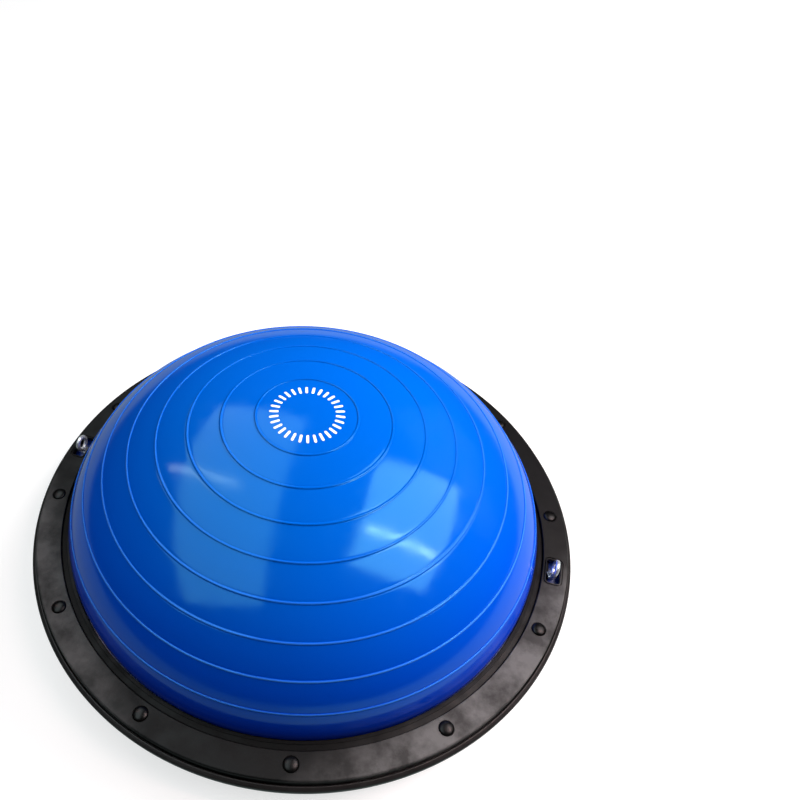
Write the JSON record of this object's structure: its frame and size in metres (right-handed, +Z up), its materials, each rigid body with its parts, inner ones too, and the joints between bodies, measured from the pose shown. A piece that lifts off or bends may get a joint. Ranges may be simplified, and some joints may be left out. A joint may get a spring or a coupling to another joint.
{
  "type": "balance dome trainer",
  "caption": "Half-ball balance trainer: ribbed air-filled dome clamped by a rim ring to a flat round base with two band eyes; the dome sinks under load and the valve plug pulls out.",
  "frame": {"origin": "on the floor under the middle of the base", "axes": "+Z up through the dome's top, the two band eyes on X"},
  "size_m": [0.6, 0.6, 0.198],
  "materials": {
    "base_plastic": "satin black with a fine moulded grain",
    "clamp_plastic": "satin black",
    "dome_pvc": "glossy blue soft vinyl",
    "sheet_pvc": "glossy blue soft vinyl",
    "valve_plastic": "off-white, smooth",
    "steel": "zinc plated",
    "chrome": "bright plated",
    "foot_rubber": "matt black"
  },
  "bodies": {
    "base": {"base_tray": "base_plastic", "rim_cover": "base_plastic", "clamp_ring": "clamp_plastic", "dome_flange": "dome_pvc", "bladder_floor": "sheet_pvc", "valve_seat": "valve_plastic", "rim_screw_01": "steel", "rim_screw_02": "steel", "rim_screw_03": "steel", "rim_screw_04": "steel", "rim_screw_05": "steel", "rim_screw_06": "steel", "rim_screw_07": "steel", "rim_screw_08": "steel", "rim_screw_09": "steel", "rim_screw_10": "steel", "rim_screw_11": "steel", "rim_screw_12": "steel", "eye_bolt_left": "chrome", "eye_nut_left": "chrome", "eye_washer_left": "steel", "eye_lock_nut_left": "steel", "eye_bolt_right": "chrome", "eye_nut_right": "chrome", "eye_washer_right": "steel", "eye_lock_nut_right": "steel", "foot_01": "foot_rubber", "foot_02": "foot_rubber", "foot_03": "foot_rubber", "foot_04": "foot_rubber", "foot_05": "foot_rubber", "foot_06": "foot_rubber", "foot_07": "foot_rubber", "foot_08": "foot_rubber"},
    "dome": {"dome_skin": "dome_pvc"},
    "plug": {"valve_plug": "valve_plastic"}
  },
  "joints": [
    {"name": "dome_compress", "type": "slide", "parent": "base", "child": "dome", "axis": [0, 0, -1], "range_m": [0, 0.035], "stiffness_N_per_m": 20000, "deforming": ["dome_skin"]},
    {"name": "valve_plug_pull", "type": "slide", "parent": "base", "child": "plug", "axis": [0, 0, -1], "range_m": [0, 0.02]}
  ]
}
